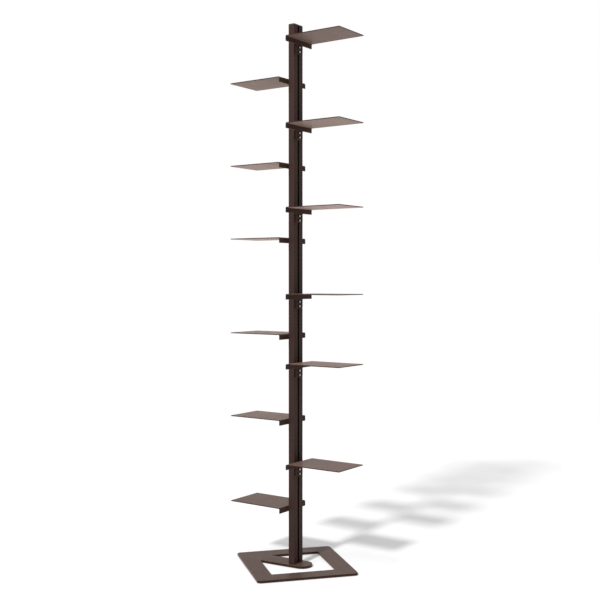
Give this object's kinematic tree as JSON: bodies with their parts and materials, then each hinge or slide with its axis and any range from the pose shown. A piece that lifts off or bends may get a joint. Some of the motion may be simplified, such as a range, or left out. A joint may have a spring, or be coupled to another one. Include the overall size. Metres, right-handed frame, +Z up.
{
  "type": "spine bookshelf",
  "caption": "Free-standing spine bookshelf: a slotted column on a windowed plate base carries small bent-metal shelves on both sides, each sliding to its own height.",
  "frame": {"origin": "on the floor, on the column's centre line, which is the centre of the base", "axes": "+Z up; +X towards the right-hand shelves, square to the slotted faces; +Y towards the back, along the width of the column"},
  "size_m": [0.4998, 0.4998, 1.95],
  "materials": {
    "painted_steel": "dark brown powder coat, satin, fine grain",
    "painted_column": "dark brown powder coat on an extruded profile",
    "zinc_steel": "bright zinc plating",
    "cap_plastic": "dark brown moulded plastic",
    "pad_rubber": "thin dark anti-slip pad"
  },
  "bodies": {
    "stand": {"base_plate": "painted_steel", "base_pad_right": "pad_rubber", "base_pad_back": "pad_rubber", "base_pad_left": "pad_rubber", "base_pad_front": "pad_rubber", "column": "painted_column", "column_top_cap": "cap_plastic", "column_bolt_front": "zinc_steel", "column_bolt_back": "zinc_steel"},
    "right_shelf_1_set": {"right_shelf_1": "painted_steel", "right_shelf_1_upper_screw": "zinc_steel", "right_shelf_1_lower_screw": "zinc_steel", "right_shelf_1_slot_nut": "zinc_steel"},
    "right_shelf_2_set": {"right_shelf_2": "painted_steel", "right_shelf_2_upper_screw": "zinc_steel", "right_shelf_2_lower_screw": "zinc_steel", "right_shelf_2_slot_nut": "zinc_steel"},
    "right_shelf_3_set": {"right_shelf_3": "painted_steel", "right_shelf_3_upper_screw": "zinc_steel", "right_shelf_3_lower_screw": "zinc_steel", "right_shelf_3_slot_nut": "zinc_steel"},
    "right_shelf_4_set": {"right_shelf_4": "painted_steel", "right_shelf_4_upper_screw": "zinc_steel", "right_shelf_4_lower_screw": "zinc_steel", "right_shelf_4_slot_nut": "zinc_steel"},
    "right_shelf_5_set": {"right_shelf_5": "painted_steel", "right_shelf_5_upper_screw": "zinc_steel", "right_shelf_5_lower_screw": "zinc_steel", "right_shelf_5_slot_nut": "zinc_steel"},
    "right_shelf_6_set": {"right_shelf_6": "painted_steel", "right_shelf_6_upper_screw": "zinc_steel", "right_shelf_6_lower_screw": "zinc_steel", "right_shelf_6_slot_nut": "zinc_steel"},
    "left_shelf_1_set": {"left_shelf_1": "painted_steel", "left_shelf_1_upper_screw": "zinc_steel", "left_shelf_1_lower_screw": "zinc_steel", "left_shelf_1_slot_nut": "zinc_steel"},
    "left_shelf_2_set": {"left_shelf_2": "painted_steel", "left_shelf_2_upper_screw": "zinc_steel", "left_shelf_2_lower_screw": "zinc_steel", "left_shelf_2_slot_nut": "zinc_steel"},
    "left_shelf_3_set": {"left_shelf_3": "painted_steel", "left_shelf_3_upper_screw": "zinc_steel", "left_shelf_3_lower_screw": "zinc_steel", "left_shelf_3_slot_nut": "zinc_steel"},
    "left_shelf_4_set": {"left_shelf_4": "painted_steel", "left_shelf_4_upper_screw": "zinc_steel", "left_shelf_4_lower_screw": "zinc_steel", "left_shelf_4_slot_nut": "zinc_steel"},
    "left_shelf_5_set": {"left_shelf_5": "painted_steel", "left_shelf_5_upper_screw": "zinc_steel", "left_shelf_5_lower_screw": "zinc_steel", "left_shelf_5_slot_nut": "zinc_steel"},
    "left_shelf_6_set": {"left_shelf_6": "painted_steel", "left_shelf_6_upper_screw": "zinc_steel", "left_shelf_6_lower_screw": "zinc_steel", "left_shelf_6_slot_nut": "zinc_steel"}
  },
  "joints": [
    {"name": "right_shelf_1_height", "type": "slide", "parent": "stand", "child": "right_shelf_1_set", "axis": [0, 0, 1], "range_m": [-0.124, 0.053]},
    {"name": "right_shelf_2_height", "type": "slide", "parent": "stand", "child": "right_shelf_2_set", "axis": [0, 0, 1], "range_m": [-0.12, 0.124]},
    {"name": "right_shelf_3_height", "type": "slide", "parent": "stand", "child": "right_shelf_3_set", "axis": [0, 0, 1], "range_m": [-0.125, 0.12]},
    {"name": "right_shelf_4_height", "type": "slide", "parent": "stand", "child": "right_shelf_4_set", "axis": [0, 0, 1], "range_m": [-0.095, 0.125]},
    {"name": "right_shelf_5_height", "type": "slide", "parent": "stand", "child": "right_shelf_5_set", "axis": [0, 0, 1], "range_m": [-0.15, 0.095]},
    {"name": "right_shelf_6_height", "type": "slide", "parent": "stand", "child": "right_shelf_6_set", "axis": [0, 0, 1], "range_m": [-0.313, 0.15]},
    {"name": "left_shelf_1_height", "type": "slide", "parent": "stand", "child": "left_shelf_1_set", "axis": [0, 0, 1], "range_m": [-0.122, 0.194]},
    {"name": "left_shelf_2_height", "type": "slide", "parent": "stand", "child": "left_shelf_2_set", "axis": [0, 0, 1], "range_m": [-0.104, 0.122]},
    {"name": "left_shelf_3_height", "type": "slide", "parent": "stand", "child": "left_shelf_3_set", "axis": [0, 0, 1], "range_m": [-0.144, 0.104]},
    {"name": "left_shelf_4_height", "type": "slide", "parent": "stand", "child": "left_shelf_4_set", "axis": [0, 0, 1], "range_m": [-0.124, 0.144]},
    {"name": "left_shelf_5_height", "type": "slide", "parent": "stand", "child": "left_shelf_5_set", "axis": [0, 0, 1], "range_m": [-0.129, 0.124]},
    {"name": "left_shelf_6_height", "type": "slide", "parent": "stand", "child": "left_shelf_6_set", "axis": [0, 0, 1], "range_m": [-0.154, 0.129]}
  ]
}
